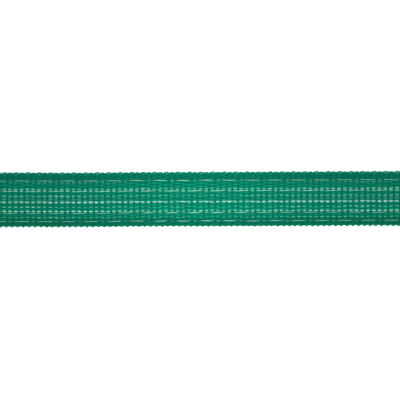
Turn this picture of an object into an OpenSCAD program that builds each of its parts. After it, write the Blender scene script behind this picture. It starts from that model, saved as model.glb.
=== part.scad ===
// Electric-fence tape: a straight cut length of woven plastic tape with five fine steel wires.
//
// +X runs along the tape, +Y across it and +Z up from the face that it lies on.
// The origin is the middle of the underside. One double pick of weft crosses the tape at
// every step, and each warp thread runs the whole length, over some picks and under others.

/* [Tape] */
// Width over both edges
tape_w = 20; // [20:0.1:21]
// Distance from one pick to the next
pick_step = 2.14; // [1.8:0.01:3]
// Number of repeats along the length, four picks each
repeats = 20; // [2:1:20]

/* [Green threads] */
// Width of a flattened thread of the two closed edges
edge_w = 0.48; // [0.3:0.01:0.48]
// Thickness of a flattened warp thread
warp_t = 0.2; // [0.12:0.01:0.26]
// Spacing of the threads in the closed edge where the weft turns
turn_edge_step = 0.5; // [0.5:0.01:0.51]
// Spacing of the threads in the closed edge of the weft's loops
loop_edge_step = 0.55; // [0.5:0.01:0.55]
// Width of a flattened weft strand
weft_w = 0.38; // [0.3:0.01:0.38]
// Thickness of a flattened weft strand
weft_t = 0.28; // [0.2:0.01:0.3]
// Gap between the two strands of one pick
strand_gap = 0.04; // [0.02:0.01:0.08]

/* [Steel wires] */
// Diameter of a conductor wire
wire_d = 0.2; // [0.15:0.01:0.25]

/* [Fit] */
// Clearance between the weft and whatever crosses it
play = 0.02; // [0.01:0.01:0.05]

/* [Hidden] */

picks = 4 * repeats;
tape_l = picks * pick_step;

// A thread lies this far from the middle plane where it crosses a pick
warp_lift = weft_t / 2 + play + warp_t / 2;
wire_lift = weft_t / 2 + play + wire_d / 2;
mid_z = warp_lift + warp_t / 2;

// A thread is level for this far on each side of a pick
level = weft_w + strand_gap / 2 + 0.13;

// Places of the wires across the tape, from the turned edge down to the looped edge
wire_y = [6.98, 3.12, -0.75, -4.87, -7.9];

// Groups of warp threads, in the same order: middle of the group, threads in it, their spacing
// and the width of each. The threads of a group lie close, and openings are left between groups.
warp_groups = [
    [6.6, 1, 0, 0.46],
    [5.115, 4, 0.55, 0.53],
    [3.56, 1, 0, 0.34],
    [2.76, 1, 0, 0.46],
    [2, 2, 0.49, 0.47],
    [0.36, 3, 0.66, 0.48],
    [-1.85, 3, 0.465, 0.445],
    [-3.38, 2, 0.62, 0.6],
    [-4.56, 1, 0, 0.34],
    [-5.68, 3, 0.455, 0.435],
    [-7.145, 2, 0.6, 0.57]
];

// Place and width of every warp thread
warps = [
    for (group = warp_groups, k = [0 : group[1] - 1])
        [group[0] + ((group[1] - 1) / 2 - k) * group[2], group[3]]
];

// Place of the outermost thread of each edge, just inside the weft's turns and loops
outer_y = tape_w / 2 - weft_w - play - edge_w / 2;

// Radius, on the weft's centre line, of its turn onto the edge and of its narrow loop
turn_r = 0.3;
loop_r = (weft_w + strand_gap) / 2;
turn_steps = 2;
loop_steps = 4;

dark_green = [0.02, 0.38, 0.27];
green = [0.03, 0.48, 0.36];
steel = [0.78, 0.79, 0.8];

function pick_x(i) = (i - (picks - 1) / 2) * pick_step;

// Whether a thread is over pick i: it changes sides after every run of picks
function is_over(i, run, shift) = floor((i + shift) / run) % 2 == 0;

function side(i, run, shift) = is_over(i, run, shift) ? 1 : -1;

// Centre line of a warp thread in the X-Z plane, from cut end to cut end
function woven_line(lift, run, shift) = [
    [-tape_l / 2, lift * side(0, run, shift)],
    for (i = [0 : picks - 2])
        if (is_over(i, run, shift) != is_over(i + 1, run, shift))
            each [
                [pick_x(i) + level, lift * side(i, run, shift)],
                [pick_x(i + 1) - level, lift * side(i + 1, run, shift)]
            ],
    [tape_l / 2, lift * side(picks - 1, run, shift)]
];

// Points of an arc from angle a to angle b
function arc(centre, r, a, b, steps) = [
    for (k = [0 : steps])
        let (turn = a + (b - a) * k / steps)
            centre + r * [cos(turn), sin(turn)]
];

// Centre line of the weft in the X-Y plane: down one strand, round the narrow loop at the looped
// edge, up the other strand and along the turned edge to the next pick
function weft_line() = let (
    top = tape_w / 2 - weft_w / 2,
    low = -tape_w / 2 + weft_w / 2 + loop_r
) [
    [pick_x(0) - loop_r, top],
    for (i = [0 : picks - 1]) each concat(
        i == 0 ? [] : arc([pick_x(i) - loop_r - turn_r, top - turn_r], turn_r, 90, 0, turn_steps),
        arc([pick_x(i), low], loop_r, 180, 360, loop_steps),
        i == picks - 1 ? [] : arc([pick_x(i) + loop_r + turn_r, top - turn_r], turn_r, 180, 90, turn_steps)
    ),
    [pick_x(picks - 1) + loop_r, top]
];

function unit(v) = v / norm(v);

function left_of(v) = [-v.y, v.x];

// Sideways step at point i that keeps a bent strip at one width
function mitre(line, i) = let (
    n = len(line) - 1,
    before = left_of(unit(line[max(i, 1)] - line[max(i, 1) - 1])),
    after = left_of(unit(line[min(i, n - 1) + 1] - line[min(i, n - 1)]))
) (before + after) / (1 + before * after);

// Outline of a strip of width w along a line
function strip(line, w) = let (n = len(line) - 1) concat(
    [for (i = [0 : n]) line[i] + w / 2 * mitre(line, i)],
    [for (i = [n : -1 : 0]) line[i] - w / 2 * mitre(line, i)]
);

// Flattened thread of width w whose centre line lies in the X-Z plane
module flat_thread(line, y, w) {
    translate([0, y + w / 2, mid_z])
        rotate([90, 0, 0])
            linear_extrude(w)
                polygon(strip(line, warp_t));
}

// Round wire whose centre line lies in the X-Z plane: one mitred ring at each bend
module round_wire(line, y, sides = 8) {
    rings = len(line);
    points = [
        for (i = [0 : rings - 1], k = [0 : sides - 1])
            let (m = mitre(line, i), a = 360 * (k + 0.5) / sides, r = wire_d / 2)
                [line[i].x + r * cos(a) * m.x, y + r * sin(a), mid_z + line[i].y + r * cos(a) * m.y]
    ];
    walls = [
        for (i = [0 : rings - 2], k = [0 : sides - 1])
            let (a = i * sides + k, b = i * sides + (k + 1) % sides)
                [a, b, b + sides, a + sides]
    ];
    caps = [
        [for (k = [sides - 1 : -1 : 0]) k],
        [for (k = [0 : sides - 1]) (rings - 1) * sides + k]
    ];
    polyhedron(points, concat(walls, caps));
}

// One thread that crosses at every pick as two strands and holds both edges
module weft_thread() {
    color(dark_green)
        translate([0, 0, mid_z - weft_t / 2])
            linear_extrude(weft_t)
                polygon(strip(weft_line(), weft_w));
}

// Steel wires go over two picks and under two, each the other way round from the last
module conductor_wire(i) {
    color(steel)
        round_wire(woven_line(wire_lift, 2, 2 * ((i - 1) % 2)), wire_y[i - 1]);
}

// Closed edge on the side where the weft turns from pick to pick: over one, under one
module turn_edge_thread(i) {
    color(dark_green)
        flat_thread(woven_line(warp_lift, 1, (i - 1) % 2), outer_y - (i - 1) * turn_edge_step, edge_w);
}

// Closed edge on the side of the weft's narrow loops: over one, under one
module loop_edge_thread(i) {
    color(dark_green)
        flat_thread(woven_line(warp_lift, 1, i % 2), -outer_y + (i - 1) * loop_edge_step, edge_w);
}

// Warp between the edges: over two and under two, one pick out of step with the wires
module warp_thread(i) {
    color(green)
        flat_thread(woven_line(warp_lift, 2, 1 + 2 * (i % 2)), warps[i - 1][0], warps[i - 1][1]);
}

weft_thread();
for (i = [1 : 5])
    conductor_wire(i);
for (i = [1 : 5])
    turn_edge_thread(i);
for (i = [1 : 3])
    loop_edge_thread(i);
for (i = [1 : 23])
    warp_thread(i);
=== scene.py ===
"""A straight length of woven electric-fence tape, with five steel wires among its green threads.

The tape lies flat on a pale floor. +X runs along it, +Y across it and +Z up. Every thread takes its
place from the frame: this file gives the threads their round section, their wave over and under the
weft, their small unevenness and their finish, with painted shade and a painted glow in its colours.
"""

import bisect
import math

import bmesh
import bpy
from bpy.props import FloatProperty, FloatVectorProperty, IntProperty, PointerProperty
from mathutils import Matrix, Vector, noise


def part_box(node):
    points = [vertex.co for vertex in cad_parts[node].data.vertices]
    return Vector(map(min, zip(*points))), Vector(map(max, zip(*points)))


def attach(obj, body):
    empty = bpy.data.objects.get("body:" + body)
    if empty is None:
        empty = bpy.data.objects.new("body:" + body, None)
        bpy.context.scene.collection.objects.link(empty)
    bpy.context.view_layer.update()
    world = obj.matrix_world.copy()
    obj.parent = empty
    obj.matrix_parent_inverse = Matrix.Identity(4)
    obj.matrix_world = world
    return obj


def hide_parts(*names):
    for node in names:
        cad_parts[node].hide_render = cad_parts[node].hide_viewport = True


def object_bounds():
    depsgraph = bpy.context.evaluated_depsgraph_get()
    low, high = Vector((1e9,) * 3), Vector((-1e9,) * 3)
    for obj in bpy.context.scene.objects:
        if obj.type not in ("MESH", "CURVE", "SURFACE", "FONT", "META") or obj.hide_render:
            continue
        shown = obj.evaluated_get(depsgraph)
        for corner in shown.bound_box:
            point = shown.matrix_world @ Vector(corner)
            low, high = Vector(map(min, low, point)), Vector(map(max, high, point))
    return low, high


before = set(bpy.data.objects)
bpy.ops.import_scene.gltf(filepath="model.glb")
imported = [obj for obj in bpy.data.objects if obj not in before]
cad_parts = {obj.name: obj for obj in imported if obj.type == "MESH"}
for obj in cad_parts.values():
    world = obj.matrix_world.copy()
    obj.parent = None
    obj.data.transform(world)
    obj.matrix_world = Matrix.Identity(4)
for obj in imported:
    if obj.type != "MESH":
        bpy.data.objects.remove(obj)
CAD_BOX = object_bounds()

bl_info = {
    "name": "Fence Tape",
    "version": (1, 0, 0),
    "blender": (4, 5, 0),
    "location": "3D View > Sidebar > Fence Tape",
    "description": "Weaves a straight length of electric-fence tape with five steel wires",
    "category": "Add Mesh",
}

MM = 0.001

# Picks of weft along the tape
PICKS = 80
# How many picks a thread passes over before it goes under as many
EDGE_RUN = 1
LONG_RUN = 2

# How many warp threads stray together in each group between the edges, from the turned edge down
GROUPS = (1, 4, 4, 3, 3, 2, 4, 2)
# The group that each wire strays with
WIRE_GROUPS = (0, 2, 3, 6, 7)
WIRE_NODES = [f"conductor_wire_{k + 1}" for k in range(len(WIRE_GROUPS))]
TURN_THREADS = 5
LOOP_THREADS = 3
# The push of the larger bumps on the turned edge fades out over this many threads
TUCKED_THREADS = 3

# Points along a warp thread for each pick, and along one strand of the weft
POINTS_PER_PICK = 8
POINTS_PER_STRAND = 9
# Straight steps between two points of an outline or of the smooth weft
CURVE_STEPS = 3

# Points that shape the weft at its corners, as millimetres along the tape, millimetres towards
# the turned edge and the share of the bump or loop that the point takes part in: where it comes
# off the turned edge, where it goes onto it, and before and after the tip of a narrow loop
OFF_EDGE = ((-0.75, 0, 0.8), (-0.35, 0, 1), (-0.08, -0.05, 1))
ONTO_EDGE = ((0.06, -0.12, 0), (0.35, -0.02, 0))
INTO_LOOP = ((-0.12, 0.26, 0), (-0.08, -0.06, 1))
OUT_OF_LOOP = ((-0.12, -0.06, 1), (0.02, 0.3, 0))

# Squareness of an outline: a true oval, the weft's fuller oval and a flattened green thread
OVAL = 0.5523
FULL_OVAL = 0.62
FLATTENED = 0.85

# Number of each edge's group, and of its first thread, and of the first wire, where they read
# their wander; the groups and threads between the edges have lower numbers
TURN_EDGE_NUMBER = 60
LOOP_EDGE_NUMBER = 70
WIRE_NUMBER = 100
# First row of the noise and row spacing for each kind of wander
NOISE_ROWS = {
    "cut": (0, 3.7),
    "group": (0, 5.3),
    "thread": (40, 2.9),
    "girth": (80, 4.1),
    "bump": (21, 0),
    "loop": (31, 0),
    "weft_height": (51, 0),
    "weft_girth": (61, 0),
}
# How far along the tape the wander of a group, of a thread and of its thickness changes
GROUP_REACH = 9 * MM
THREAD_REACH = 4 * MM
GIRTH_REACH = 6 * MM

# How often the streaks of a plastic thread and the lines of a wire change, per metre
CHANGES_ALONG = 400
STREAKS_ACROSS = 8000
LINES_ACROSS = 30000


def middle(node):
    """Middle of a CAD node's box."""
    low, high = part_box(node)
    return (low + high) / 2


def width(node):
    """Width of a CAD node across the tape."""
    low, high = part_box(node)
    return high.y - low.y


TAPE_END = CAD_BOX[1].x
EDGE = CAD_BOX[1].y
STEP = 2 * TAPE_END / PICKS
MID_Z = middle("weft_thread").z
WEFT_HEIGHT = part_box("weft_thread")[1].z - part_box("weft_thread")[0].z
WIRE_WIDTH = width("conductor_wire_1")
# The green nodes in their order across the tape, from the turned edge down
GREEN_NODES = (
    [f"turn_edge_thread_{k + 1}" for k in range(TURN_THREADS)]
    + [f"warp_thread_{k + 1}" for k in range(sum(GROUPS))]
    + [f"loop_edge_thread_{k}" for k in range(LOOP_THREADS, 0, -1)]
)


def length(name, text, default, low=0.0, high=0.01):
    """A size property in metres."""
    return FloatProperty(
        name=name, description=text, default=default, min=low, max=high, precision=6, unit="LENGTH"
    )


def amount(name, text, default, low=0.0, high=1.0):
    """A plain number property, such as a share or a strength."""
    return FloatProperty(name=name, description=text, default=default, min=low, max=high)


def paint(name, text, default):
    """A colour property."""
    return FloatVectorProperty(
        name=name, description=text, default=default, size=3, min=0.0, max=1.0, subtype="COLOR"
    )


class TapeThreads(bpy.types.PropertyGroup):
    """Sizes of the threads"""

    edge_width: length(
        "Edge thread width", "Width of an edge thread; the warp threads follow from it", 0.56 * MM
    )
    warp_thickness: length("Warp thickness", "Thickness of an edge or warp thread", 0.2 * MM)
    weft_width: length("Weft width", "Width of one strand of the weft", 0.4 * MM)
    strand_gap: length("Strand gap", "Gap between the two strands of a pick", 0.02 * MM)
    level: length(
        "Level stretch", "How far a thread stays level beyond the middle of a pick", 0.46 * MM
    )
    swell: length("Edge swell", "How far both edges stand out beyond the nominal width", 0.12 * MM)
    flare: amount("Flare", "How much wider the weft lies along the turned edge", 0.25)
    tuck: length("Tuck", "How far the larger bumps push the turned edge inwards", 0.22 * MM)
    dense: amount("Dense middle", "How much stouter threads and wires are half-way along", 0.24)
    sag: amount("Float sag", "Share of its height that a thread sinks between two picks", 0.12)


class TapeUnevenness(bpy.types.PropertyGroup):
    """How far the threads stray from a perfect weave"""

    bow: length("Weft bow", "How far the picks bow between the middle and the edges", 0.25 * MM)
    lean: length("Edge lean", "How far the weft leans back along the tape at the edges", 0.5 * MM)
    pick_stray: length("Pick stray", "How far a pick strays along the tape", 0.1 * MM)
    group_stray: length("Group stray", "How far a group of warp threads strays sideways", 0.07 * MM)
    thread_stray: length("Thread stray", "How far one thread strays inside its group", 0.03 * MM)
    cut_stray: length("Cut stray", "How unevenly the ends are cut", 0.12 * MM)
    dip: length("Sideways dip", "Depth of the one slow sideways bend of the tape", 0.12 * MM)
    seed: IntProperty(name="Seed", description="Chooses one set of uneven threads", default=7, min=0)


class TapeColours(bpy.types.PropertyGroup):
    """Colours of the threads and the floor, with painted shade and a painted glow among the greens"""

    warp: paint("Warp green", "Main colour of the warp threads", (0.004, 0.231, 0.155))
    warp_pale: paint("Pale warp green", "Colour of their paler streaks", (0.008, 0.277, 0.191))
    # The edge greens are darker copies of the warp green: painted shade of the close-set edge threads,
    # darker still on the looped edge, where less light falls
    edge: paint("Turned edge green", "Main colour of the turned edge", (0.003, 0.199, 0.128))
    edge_pale: paint("Pale turned edge green", "Colour of its paler streaks", (0.006, 0.229, 0.156))
    # Painted shade: the looped edge and the group beside it get the darkest copy of the green, for the side
    # where less light falls
    loop: paint(
        "Looped edge green", "Main colour of the looped edge and the group beside it", (0.003, 0.181, 0.115)
    )
    loop_pale: paint("Pale looped edge green", "Colour of their paler streaks", (0.006, 0.21, 0.14))
    # Painted glow: a pale green painted on a thread's side beside an opening, standing in for light from
    # the floor that shines through the thin plastic
    painted_glow: paint("Rim green", "Colour of a thread's side beside an opening", (0.08, 0.64, 0.45))
    # The weft green is a darker copy of the warp green: painted shade of the weft where it lies under the
    # warp threads
    weft: paint("Weft green", "Main colour of the weft", (0.003, 0.202, 0.134))
    weft_pale: paint("Pale weft green", "Colour of its paler streaks", (0.007, 0.234, 0.159))
    gloss: paint("Gloss tint", "Colour of the gloss on the green threads", (0.05, 0.9, 0.65))
    # Painted shade: the threads are painted darker where they cross the weft, in place of the shade that
    # falls at the picks
    painted_crossing_shade: amount("Crossing shade", "How much darker a thread is where it crosses the weft", 0.27)
    steel: paint("Steel", "Colour of the wires", (0.46, 0.65, 0.58))
    floor: paint("Floor", "Colour of the floor", (0.76, 0.87, 0.84))


class TapeStage(bpy.types.PropertyGroup):
    """Light and camera"""

    view_width: length("View width", "Length of tape that the camera sees", 148.3 * MM, 0.01, 10)
    view_height: length("Camera height", "Height of the camera over the floor", 1.5, 0.1, 10)
    sky: amount("Sky strength", "Strength of the even light from all round", 1.39, 0.0, 10.0)
    lamp_power: amount("Lamp power", "Power of the soft lamp, in watts", 0.022, 0.0, 100.0)
    lamp_height: length("Lamp height", "Height of the soft lamp over the floor", 0.07, 0.01, 10)
    lamp_size: length("Lamp size", "Width of the soft lamp", 0.05, 0.001, 10)
    gamma: amount("Gamma", "Gamma of the view: below one, middle tones are darker", 0.7, 0.1, 5.0)


def row(kind, number=0):
    """The row of the noise that a thread or group reads one kind of wander from."""
    first, spacing = NOISE_ROWS[kind]
    return first + spacing * number


def stray(place, line, scale):
    """A slow, repeatable wander, nearly always between -scale and scale, along a line of the noise.

    The noise itself seldom passes 0.6, and it is nil at whole numbers, which the added fractions
    avoid. Where picks or points are counted, a pace keeps the wander slow from one to the next.
    """
    gain = 1.6
    seed = bpy.context.scene.tape_unevenness.seed
    return gain * scale * noise.noise(Vector((place + 0.37, line * 1.93 + 0.51, seed * 2.71 + 0.13)))


def drift(y):
    """How far along the tape the weft has shifted where it crosses the line y."""
    uneven = bpy.context.scene.tape_unevenness
    across = min(abs(y) / EDGE, 1.0)
    bow_mean = 0.3
    lean_starts = 0.84
    lean = max(across - lean_starts, 0.0) / (1.0 - lean_starts)
    return uneven.bow * (across**2 - bow_mean) - uneven.lean * lean**2


def pick_x(pick, y):
    """Where a pick crosses the line y."""
    pick_pace = 0.73
    uneven = bpy.context.scene.tape_unevenness
    even = (pick - (PICKS - 1) / 2) * STEP
    return even + drift(y) + stray(pick * pick_pace, y / EDGE, uneven.pick_stray)


def sideways(x):
    """The tape's own slow sideways bend."""
    dip_middle = -46 * MM
    dip_reach = 16 * MM
    return -bpy.context.scene.tape_unevenness.dip * math.exp(-(((x - dip_middle) / dip_reach) ** 2))


def sides(run, shift):
    """1 where a thread is over a pick and -1 where it is under, for every pick."""
    return [1 if (pick + shift) // run % 2 == 0 else -1 for pick in range(PICKS)]


def rise(x, crossings, over):
    """Height of a thread at x, from -1 under the weft to 1 over it."""
    threads = bpy.context.scene.tape_threads
    after = bisect.bisect(crossings, x)
    if after == 0:
        return over[0]
    if after == PICKS:
        return over[-1]
    left, right = crossings[after - 1], crossings[after]
    part = (x - left - threads.level) / (right - left - 2 * threads.level)
    part = min(max(part, 0.0), 1.0)
    if over[after - 1] == over[after]:
        return over[after] * (1 - threads.sag * math.sin(math.pi * part) ** 2)
    ease = part * part * (3 - 2 * part)
    return over[after - 1] + (over[after] - over[after - 1]) * ease


def pushed(x, y):
    """How fully the weft's larger bumps push the turned edge inwards at x: from 0 to 1.

    A larger bump lies a little way back along the tape from every other pick.
    """
    bump_shift = 0.62 * MM
    pick = (x - drift(y) + bump_shift) / STEP + (PICKS - 1) / 2
    return (0.5 + 0.5 * math.cos(math.pi * pick)) ** 2


def warp_line(y, lift, run, shift, group, line, squeeze=0.1, girth=1.0, tuck=0.0):
    """Points and thicknesses along one thread or wire that runs the length of the tape.

    Its group and line are the numbers that its wander is read by. Thicknesses are shares of its
    outline: girth is the thread's own share, less squeeze where it passes from one side of the
    weft to the other. Tuck is how far the larger bumps push it inwards.
    """
    uneven = bpy.context.scene.tape_unevenness
    dense = bpy.context.scene.tape_threads.dense
    spread = 1 + bpy.context.scene.tape_threads.swell / EDGE
    dense_reach = 30 * MM
    girth_stray = 0.04
    over = sides(run, shift)
    crossings = [pick_x(pick, y) for pick in range(PICKS)]
    start = -TAPE_END + stray(1, row("cut", line), uneven.cut_stray)
    end = TAPE_END + stray(2, row("cut", line), uneven.cut_stray)
    count = PICKS * POINTS_PER_PICK
    points = []
    for k in range(count + 1):
        x = start + (end - start) * k / count
        height = rise(x, crossings, over)
        aside = stray(x / GROUP_REACH, row("group", group), uneven.group_stray)
        aside += stray(x / THREAD_REACH, row("thread", line), uneven.thread_stray)
        thick = 1 - squeeze * (1 - abs(height)) + stray(x / GIRTH_REACH, row("girth", line), girth_stray)
        thick += dense * math.exp(-((x / dense_reach) ** 2))
        aside -= tuck * pushed(x, y)
        place = Vector((x, spread * y + aside + sideways(x), MID_Z + lift * height))
        points.append((place, girth * thick))
    return points


def corner(x, y, reach, steps):
    """Points of the weft round a corner at x and y, whose bump or loop has the given reach."""
    return [
        Vector((x + along * MM, y + reach * part + out * MM, 0)) for along, out, part in steps
    ]


def strand(pick, offset, start_y, end_y):
    """Points of one strand of a pick, from start_y to end_y."""
    points = []
    for k in range(POINTS_PER_STRAND):
        y = start_y + (end_y - start_y) * k / (POINTS_PER_STRAND - 1)
        points.append(Vector((pick_x(pick, y) + offset, y, 0)))
    return points


def weft_line():
    """Points and thicknesses along the weft, from its first pick to its last.

    It comes down one strand of a pick, goes round a narrow loop at the looped edge, back up the
    other strand and along the turned edge to the next pick. Every other bump is a larger one.
    """
    large_bump = 0.2 * MM
    small_bump = 0.04 * MM
    bump_stray = 0.05 * MM
    loop_stray = 0.06 * MM
    pick_pace = 0.9
    height_stray = 0.02 * MM
    height_pace = 0.31
    girth_stray = 0.05
    girth_pace = 0.17
    straight_ends = 0.55 * MM
    threads = bpy.context.scene.tape_threads
    half = (threads.weft_width + threads.strand_gap) / 2
    low_y = -EDGE + straight_ends
    high_y = EDGE - straight_ends
    run_y = EDGE - threads.weft_width / 2 * (1 + threads.flare) + threads.swell
    points = []
    for pick in range(PICKS):
        bump = large_bump if pick % 2 == 0 else small_bump
        bump += stray(pick * pick_pace, row("bump"), bump_stray)
        loop = threads.weft_width / 2 - threads.swell
        loop += stray(pick * pick_pace, row("loop"), loop_stray)
        if pick > 0:
            points += corner(pick_x(pick, high_y) - half, run_y, bump, OFF_EDGE)
        points += strand(pick, -half, high_y, low_y)
        tip = pick_x(pick, -EDGE)
        points += corner(tip - half, -EDGE, loop, INTO_LOOP)
        points += corner(tip + half, -EDGE, loop, OUT_OF_LOOP)
        points += strand(pick, half, low_y, high_y)
        if pick < PICKS - 1:
            points += corner(pick_x(pick, high_y) + half, run_y, bump, ONTO_EDGE)
    line = []
    for k, point in enumerate(points):
        height = MID_Z + stray(k * height_pace, row("weft_height"), height_stray)
        near_turn = min(max((point.y - high_y) / (EDGE - high_y), 0.0), 1.0)
        thick = 1 + stray(k * girth_pace, row("weft_girth"), girth_stray) + threads.flare * near_turn
        line.append((Vector((point.x, point.y + sideways(point.x), height)), thick))
    return line


def outline(name, across_size, up_size, squareness):
    """Closed outline to sweep along a thread: four points, and handles as long as squareness says."""
    curve = bpy.data.curves.new(name, "CURVE")
    curve.resolution_u = CURVE_STEPS
    spline = curve.splines.new("BEZIER")
    spline.bezier_points.add(3)
    spline.use_cyclic_u = True
    corners = ((1, 0), (0, 1), (-1, 0), (0, -1))
    for point, (across, up) in zip(spline.bezier_points, corners, strict=True):
        place = Vector((across * across_size / 2, up * up_size / 2, 0))
        along = Vector((-up * across_size / 2, across * up_size / 2, 0)) * squareness
        point.co = place
        point.handle_left = place - along
        point.handle_right = place + along
    return curve


def sweep(name, lines, section, smooth=False):
    """One mesh piece of threads, each with the given section along its own line.

    The section is a curve that is used up. Each line is a list of points and thicknesses.
    """
    cubic = 4
    former = bpy.data.objects.new(name + "_section", section)
    curve = bpy.data.curves.new(name, "CURVE")
    curve.dimensions = "3D"
    curve.twist_mode = "Z_UP"
    curve.bevel_mode = "OBJECT"
    curve.bevel_object = former
    curve.use_fill_caps = True
    curve.resolution_u = CURVE_STEPS
    for line in lines:
        spline = curve.splines.new("NURBS" if smooth else "POLY")
        spline.points.add(len(line) - 1)
        for point, (place, thick) in zip(spline.points, line, strict=True):
            point.co = (*place, 1)
            point.radius = thick
        if smooth:
            spline.order_u = cubic
            spline.use_endpoint_u = True
    swept = bpy.data.objects.new(name + "_swept", curve)
    for shape in (former, swept):
        bpy.context.scene.collection.objects.link(shape)
    graph = bpy.context.evaluated_depsgraph_get()
    mesh = bpy.data.meshes.new_from_object(swept.evaluated_get(graph))
    for shape in (former, swept):
        bpy.data.objects.remove(shape)
    for data in (curve, section):
        bpy.data.curves.remove(data)
    return finish_threads(name, mesh)


def finish_threads(name, mesh):
    """Makes swept threads a piece: closes their seams and turns their faces outwards.

    Their sides, which are all of four-cornered faces, are shaded smooth, and their cut ends flat.
    """
    seam = 0.0005 * MM
    side_corners = 4
    work = bmesh.new()
    work.from_mesh(mesh)
    bmesh.ops.remove_doubles(work, verts=work.verts, dist=seam)
    bmesh.ops.recalc_face_normals(work, faces=work.faces)
    for face in work.faces:
        face.smooth = len(face.verts) == side_corners
    for face in work.faces:
        if not face.smooth:
            for edge in face.edges:
                edge.smooth = False
    work.to_mesh(mesh)
    work.free()
    mesh.name = name
    piece = bpy.data.objects.new(name, mesh)
    bpy.context.scene.collection.objects.link(piece)
    return piece


def settle(piece, material, slot, *nodes):
    """Gives a finished piece its material, and puts it in the place of its CAD nodes."""
    piece.data.materials.clear()
    piece.data.materials.append(material)
    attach(piece, "root")
    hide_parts(*nodes)


def new_material(name):
    """An empty material with its shader and output, ready for nodes."""
    material = bpy.data.materials.new(name)
    material.use_nodes = True
    return material, material.node_tree.nodes, material.node_tree.links


def open_sides(node):
    """Whether a green thread has an opening beside it: on its +Y side, and on its -Y side.

    A wire that runs in the opening takes up its own width.
    """
    least_opening = 0.195 * MM
    wires = [middle(wire).y for wire in WIRE_NODES]
    rank = GREEN_NODES.index(node)
    sides_open = []
    for other_rank in (rank - 1, rank + 1):
        if 0 <= other_rank < len(GREEN_NODES):
            other = GREEN_NODES[other_rank]
            low, high = sorted((middle(node).y, middle(other).y))
            between = high - low - (width(node) + width(other)) / 2
            between -= WIRE_WIDTH * sum(low < wire < high for wire in wires)
            sides_open.append(between > least_opening)
        else:
            sides_open.append(False)
    return sides_open


def crossing_at(x, y):
    """How fully a place lies on a pick: 1 on the weft, 0 between picks."""
    fade_share = 0.3
    half = bpy.context.scene.tape_threads.weft_width
    fade = fade_share * half
    pick = round((x - drift(y)) / STEP + (PICKS - 1) / 2)
    away = abs(x - pick_x(min(max(pick, 0), PICKS - 1), y))
    return min(max((half + fade - away) / (2 * fade), 0.0), 1.0)


def passing(line, x):
    """The place and thickness of a thread where it passes x."""
    start = line[0][0].x
    step = (line[-1][0].x - start) / (len(line) - 1)
    return line[min(max(round((x - start) / step), 0), len(line) - 1)]


def mark_threads(piece, lines, nodes):
    """Stores two shares on every point of a piece.

    "crossings" says how fully the point lies on a pick, where the thread is painted darker as shade. "rims"
    says how near it is to a side of its thread that has an opening beside it, where a painted glow stands
    for light through the thin plastic, and fades out on a pick.
    """
    painted_glow_starts = 0.55
    half_width = bpy.context.scene.tape_threads.edge_width / 2
    open_by = [open_sides(node) for node in nodes]
    crossings = []
    painted_glows = []
    for vertex in piece.data.vertices:
        x, y, _ = vertex.co
        here = [passing(line, x) for line in lines]
        asides = [y - place.y for place, _ in here]
        nearest = min(range(len(lines)), key=lambda k, found=asides: abs(found[k]))
        thick = here[nearest][1]
        above, below = open_by[nearest]
        has_opening = above if asides[nearest] > 0 else below
        # Share of painted glow, growing towards a side of the thread that has an opening beside it
        painted_glow = (abs(asides[nearest]) / (half_width * thick) - painted_glow_starts) / (1 - painted_glow_starts)
        painted_glow = min(max(painted_glow, 0.0), 1.0) if has_opening else 0.0
        # Share of painted shade on a pick, where the painted glow fades out
        painted_crossing_shade = crossing_at(x, y)
        crossings.append(painted_crossing_shade)
        painted_glows.append(painted_glow * (1 - painted_crossing_shade))
    for name, values in (("crossings", crossings), ("painted_glows", painted_glows)):
        marks = piece.data.attributes.new(name, "FLOAT", "POINT")
        marks.data.foreach_set("value", values)


def fine_lines(material, stretch, detail, roughness, strength, depth):
    """Gives a finish fine lines, which vary its roughness and raise its surface.

    The stretch is how often they change per metre along X, Y and Z. The result is the node that
    makes the lines, for whatever else follows them.
    """
    nodes = material.node_tree.nodes
    links = material.node_tree.links
    shader = nodes["Principled BSDF"]
    place = nodes.new("ShaderNodeTexCoord")
    stretched = nodes.new("ShaderNodeMapping")
    stretched.inputs["Scale"].default_value = stretch
    links.new(place.outputs["Object"], stretched.inputs["Vector"])
    lines = nodes.new("ShaderNodeTexNoise")
    lines.inputs["Scale"].default_value = 1.0
    lines.inputs["Detail"].default_value = detail
    links.new(stretched.outputs["Vector"], lines.inputs["Vector"])
    gloss = nodes.new("ShaderNodeMapRange")
    gloss.inputs["To Min"].default_value, gloss.inputs["To Max"].default_value = roughness
    links.new(lines.outputs["Fac"], gloss.inputs["Value"])
    links.new(gloss.outputs["Result"], shader.inputs["Roughness"])
    bump = nodes.new("ShaderNodeBump")
    bump.inputs["Strength"].default_value = strength
    bump.inputs["Distance"].default_value = depth
    links.new(lines.outputs["Fac"], bump.inputs["Height"])
    links.new(bump.outputs["Normal"], shader.inputs["Normal"])
    return lines


def drawn_plastic(name, main, pale, stretch):
    """Drawn plastic thread: paler streaks and fine ridges along it, with a soft green gloss."""
    material, nodes, links = new_material(name)
    shader = nodes["Principled BSDF"]
    shader.inputs["IOR"].default_value = 1.5
    shader.inputs["Specular IOR Level"].default_value = 0.25
    shader.inputs["Specular Tint"].default_value = (*bpy.context.scene.tape_colours.gloss, 1)
    streaks = fine_lines(
        material, stretch, detail=4.0, roughness=(0.3, 0.5), strength=0.6, depth=0.02 * MM
    )
    shade = nodes.new("ShaderNodeValToRGB")
    stops = shade.color_ramp.elements
    for stop, position, colour in zip(stops, (0.32, 0.68), (main, pale), strict=True):
        stop.position = position
        stop.color = (*colour, 1)
    links.new(streaks.outputs["Fac"], shade.inputs["Fac"])
    links.new(shade.outputs["Color"], shader.inputs["Base Color"])
    return material


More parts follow.
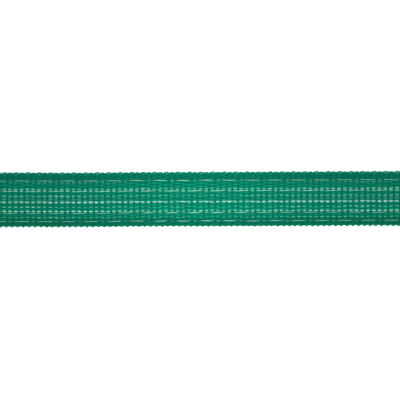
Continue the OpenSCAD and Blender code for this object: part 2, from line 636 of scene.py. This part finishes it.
def marked_plastic(name, main, pale):
    """Drawn plastic for threads that run along the tape.

    It is painted darker where a thread crosses the weft, as painted shade, and takes the pale glow colour
    at a side beside an
    opening: a painted glow that stands for light shining through the thin plastic.
    """
    colours = bpy.context.scene.tape_colours
    stretch = (CHANGES_ALONG, STREAKS_ACROSS, STREAKS_ACROSS)
    material = drawn_plastic(name, main, pale, stretch)
    nodes = material.node_tree.nodes
    links = material.node_tree.links
    shader = nodes["Principled BSDF"]
    shade = shader.inputs["Base Color"].links[0].from_node
    # Painted shade: the colour is scaled darker on the picks
    on_pick = nodes.new("ShaderNodeAttribute")
    on_pick.attribute_name = "crossings"
    darker = nodes.new("ShaderNodeMapRange")
    darker.inputs["To Min"].default_value = 1.0
    darker.inputs["To Max"].default_value = 1.0 - colours.painted_crossing_shade
    links.new(on_pick.outputs["Fac"], darker.inputs["Value"])
    dim = nodes.new("ShaderNodeVectorMath")
    dim.operation = "SCALE"
    links.new(shade.outputs["Color"], dim.inputs["Vector"])
    links.new(darker.outputs["Result"], dim.inputs["Scale"])
    # Painted glow: the pale green is mixed in beside openings, in place of light shining through the
    # plastic
    beside = nodes.new("ShaderNodeAttribute")
    beside.attribute_name = "painted_glows"
    glow = nodes.new("ShaderNodeMix")
    glow.data_type = "RGBA"
    glow.inputs["B"].default_value = (*colours.painted_glow, 1)
    links.new(beside.outputs["Fac"], glow.inputs["Factor"])
    links.new(dim.outputs["Vector"], glow.inputs["A"])
    links.new(glow.outputs["Result"], shader.inputs["Base Color"])
    return material


def drawn_steel(name, colour):
    """Bright drawn wire, with fine lines along it."""
    material, nodes, _ = new_material(name)
    shader = nodes["Principled BSDF"]
    shader.inputs["Base Color"].default_value = (*colour, 1)
    shader.inputs["Metallic"].default_value = 1.0
    stretch = (CHANGES_ALONG, LINES_ACROSS, LINES_ACROSS)
    fine_lines(
        material, stretch, detail=2.0, roughness=(0.22, 0.42), strength=0.25, depth=0.005 * MM
    )
    return material


def pale_floor(name, colour):
    """Matt, even floor."""
    material, nodes, _ = new_material(name)
    shader = nodes["Principled BSDF"]
    shader.inputs["Base Color"].default_value = (*colour, 1)
    shader.inputs["Roughness"].default_value = 0.9
    shader.inputs["Specular IOR Level"].default_value = 0.1
    return material


class TAPE_OT_weft(bpy.types.Operator):
    """Make the weft, the one thread that crosses the tape at every pick"""

    bl_idname = "tape.weft"
    bl_label = "Weft"
    bl_options = {"REGISTER", "UNDO"}

    def execute(self, context):
        """Sweep the weft along its whole path, from the first pick to the last."""
        threads = context.scene.tape_threads
        colours = context.scene.tape_colours
        section = outline("weft_section", threads.weft_width, WEFT_HEIGHT, FULL_OVAL)
        weft = sweep("weft", [weft_line()], section, smooth=True)
        stretch = (STREAKS_ACROSS, CHANGES_ALONG, STREAKS_ACROSS)
        # The weft's darker green is painted shade
        material = drawn_plastic("weft_plastic", colours.weft, colours.weft_pale, stretch)
        settle(weft, material, "weft", "weft_thread")
        return {"FINISHED"}


class TAPE_OT_wires(bpy.types.Operator):
    """Make the five steel wires"""

    bl_idname = "tape.wires"
    bl_label = "Steel wires"
    bl_options = {"REGISTER", "UNDO"}

    def execute(self, context):
        """Sweep each wire over two picks and under two, the other way round from the last."""
        steel = drawn_steel("drawn_steel", context.scene.tape_colours.steel)
        lift = (WEFT_HEIGHT + WIRE_WIDTH) / 2
        for wire, (node, group) in enumerate(zip(WIRE_NODES, WIRE_GROUPS, strict=True)):
            y = middle(node).y
            shift = 2 * (wire % 2)
            line = warp_line(y, lift, LONG_RUN, shift, group, WIRE_NUMBER + wire, squeeze=0.0)
            section = outline("wire_section", WIRE_WIDTH, WIRE_WIDTH, OVAL)
            piece = sweep(f"wire_{wire + 1}", [line], section)
            settle(piece, steel, "wire", node)
        return {"FINISHED"}


class TAPE_OT_edges(bpy.types.Operator):
    """Make the close-set threads of both edges"""

    bl_idname = "tape.edges"
    bl_label = "Edges"
    bl_options = {"REGISTER", "UNDO"}

    def execute(self, context):
        """Sweep the edge threads over one pick and under one."""
        threads = context.scene.tape_threads
        colours = context.scene.tape_colours
        lift = (WEFT_HEIGHT + threads.warp_thickness) / 2
        # Both edges take darker copies of the green, as painted shade
        turn_plastic = marked_plastic("turn_edge_plastic", colours.edge, colours.edge_pale)
        loop_plastic = marked_plastic("loop_edge_plastic", colours.loop, colours.loop_pale)
        for name, count, first, group, plastic, tuck in (
            ("turn_edge", TURN_THREADS, 0, TURN_EDGE_NUMBER, turn_plastic, threads.tuck),
            ("loop_edge", LOOP_THREADS, 1, LOOP_EDGE_NUMBER, loop_plastic, 0.0),
        ):
            nodes = [f"{name}_thread_{k + 1}" for k in range(count)]
            lines = []
            for k, node in enumerate(nodes):
                own_tuck = tuck * max(1 - k / TUCKED_THREADS, 0)
                shift = (first + k) % 2
                y = middle(node).y
                lines.append(warp_line(y, lift, EDGE_RUN, shift, group, group + k, tuck=own_tuck))
            section = outline("edge_section", threads.edge_width, threads.warp_thickness, FLATTENED)
            piece = sweep(name, lines, section)
            mark_threads(piece, lines, nodes)
            settle(piece, plastic, "warp", *nodes)
        return {"FINISHED"}


class TAPE_OT_warp(bpy.types.Operator):
    """Make the groups of warp threads between the edges"""

    bl_idname = "tape.warp"
    bl_label = "Warp groups"
    bl_options = {"REGISTER", "UNDO"}

    def execute(self, context):
        """Sweep each thread over two picks and under two, one pick out of step with the wires.

        The last group takes the looped edge's plastic, whose darker green is painted shade, so the edges
        are made before.
        """
        threads = context.scene.tape_threads
        colours = context.scene.tape_colours
        lift = (WEFT_HEIGHT + threads.warp_thickness) / 2
        plastic = marked_plastic("warp_plastic", colours.warp, colours.warp_pale)
        loop_plastic = bpy.data.materials["loop_edge_plastic"]
        first = 1
        for group, count in enumerate(GROUPS):
            numbers = range(first, first + count)
            nodes = [f"warp_thread_{number}" for number in numbers]
            lines = []
            for number, node in zip(numbers, nodes, strict=True):
                girth = width(node) / width("turn_edge_thread_1")
                shift = 1 + 2 * (number % 2)
                y = middle(node).y
                lines.append(warp_line(y, lift, LONG_RUN, shift, group, number, girth=girth))
            section = outline("warp_section", threads.edge_width, threads.warp_thickness, FLATTENED)
            piece = sweep(f"warp_group_{group + 1}", lines, section)
            mark_threads(piece, lines, nodes)
            last = group == len(GROUPS) - 1
            settle(piece, loop_plastic if last else plastic, "warp", *nodes)
            first += count
        return {"FINISHED"}


class TAPE_OT_declare(bpy.types.Operator):
    """An empty step: it leaves the tape as it is"""

    bl_idname = "tape.declare"
    bl_label = "Declare the tape"
    bl_options = {"REGISTER", "UNDO"}

    def execute(self, context):
        return {"FINISHED"}


class TAPE_OT_stage(bpy.types.Operator):
    """Make the floor, the light and the camera"""

    bl_idname = "tape.stage"
    bl_label = "Stage"
    bl_options = {"REGISTER", "UNDO"}

    def execute(self, context):
        """Lay the floor, hang the lamp and look straight down on the tape."""
        floor_reach = 3.0
        view_limit = 100
        view_middle = -0.25 * MM
        view_turn = math.radians(-0.2)
        scene = context.scene
        stage = scene.tape_stage
        work = bmesh.new()
        bmesh.ops.create_grid(work, x_segments=2, y_segments=2, size=floor_reach)
        mesh = bpy.data.meshes.new("floor")
        work.to_mesh(mesh)
        work.free()
        floor = bpy.data.objects.new("floor", mesh)
        floor.data.materials.append(pale_floor("pale_floor", scene.tape_colours.floor))
        scene.collection.objects.link(floor)

        sky = bpy.data.worlds.new("sky")
        sky.use_nodes = True
        sky.node_tree.nodes["Background"].inputs["Color"].default_value = (1, 1, 1, 1)
        sky.node_tree.nodes["Background"].inputs["Strength"].default_value = stage.sky
        scene.world = sky

        light = bpy.data.lights.new("soft_lamp", "AREA")
        light.shape = "DISK"
        light.size = stage.lamp_size
        light.energy = stage.lamp_power
        lamp = bpy.data.objects.new("soft_lamp", light)
        lamp.location = (0, 0, stage.lamp_height)
        lamp.visible_camera = False
        scene.collection.objects.link(lamp)

        view = bpy.data.cameras.new("camera")
        view.lens = view.sensor_width * stage.view_height / stage.view_width
        view.clip_end = view_limit
        camera = bpy.data.objects.new("camera", view)
        camera.location = (view_middle, view_middle, stage.view_height)
        camera.rotation_euler = (0, 0, view_turn)
        scene.collection.objects.link(camera)
        scene.camera = camera
        scene.view_settings.view_transform = "Standard"
        scene.view_settings.gamma = stage.gamma
        return {"FINISHED"}


class TAPE_PT_maker(bpy.types.Panel):
    """Sizes, colours and making steps of the tape"""

    bl_idname = "TAPE_PT_maker"
    bl_label = "Fence Tape"
    bl_space_type = "VIEW_3D"
    bl_region_type = "UI"
    bl_category = "Fence Tape"

    def draw(self, context):
        """List the settings, then the steps in order."""
        for group in GROUP_NAMES:
            box = self.layout.box()
            settings = getattr(context.scene, group)
            for name in type(settings).__annotations__:
                box.prop(settings, name)
        for operator in OPERATORS:
            self.layout.operator(operator.bl_idname)


SETTINGS = (TapeThreads, TapeUnevenness, TapeColours, TapeStage)
GROUP_NAMES = ("tape_threads", "tape_unevenness", "tape_colours", "tape_stage")
OPERATORS = (TAPE_OT_stage, TAPE_OT_weft, TAPE_OT_wires, TAPE_OT_edges, TAPE_OT_warp, TAPE_OT_declare)


def register():
    """Register the settings, the operators and the panel."""
    for settings, name in zip(SETTINGS, GROUP_NAMES, strict=True):
        bpy.utils.register_class(settings)
        setattr(bpy.types.Scene, name, PointerProperty(type=settings))
    for operator in OPERATORS:
        bpy.utils.register_class(operator)
    bpy.utils.register_class(TAPE_PT_maker)


def unregister():
    """Take everything away again, in the opposite order."""
    bpy.utils.unregister_class(TAPE_PT_maker)
    for operator in reversed(OPERATORS):
        bpy.utils.unregister_class(operator)
    for settings, name in reversed(tuple(zip(SETTINGS, GROUP_NAMES, strict=True))):
        delattr(bpy.types.Scene, name)
        bpy.utils.unregister_class(settings)


def write_sizes():
    """Brings the view layer up to date."""
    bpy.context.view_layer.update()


def main():
    """Weave the tape and light it."""
    register()
    bpy.ops.tape.stage()
    bpy.ops.tape.weft()
    bpy.ops.tape.wires()
    bpy.ops.tape.edges()
    bpy.ops.tape.warp()
    bpy.ops.tape.declare()
    write_sizes()


if __name__ == "__main__":
    main()
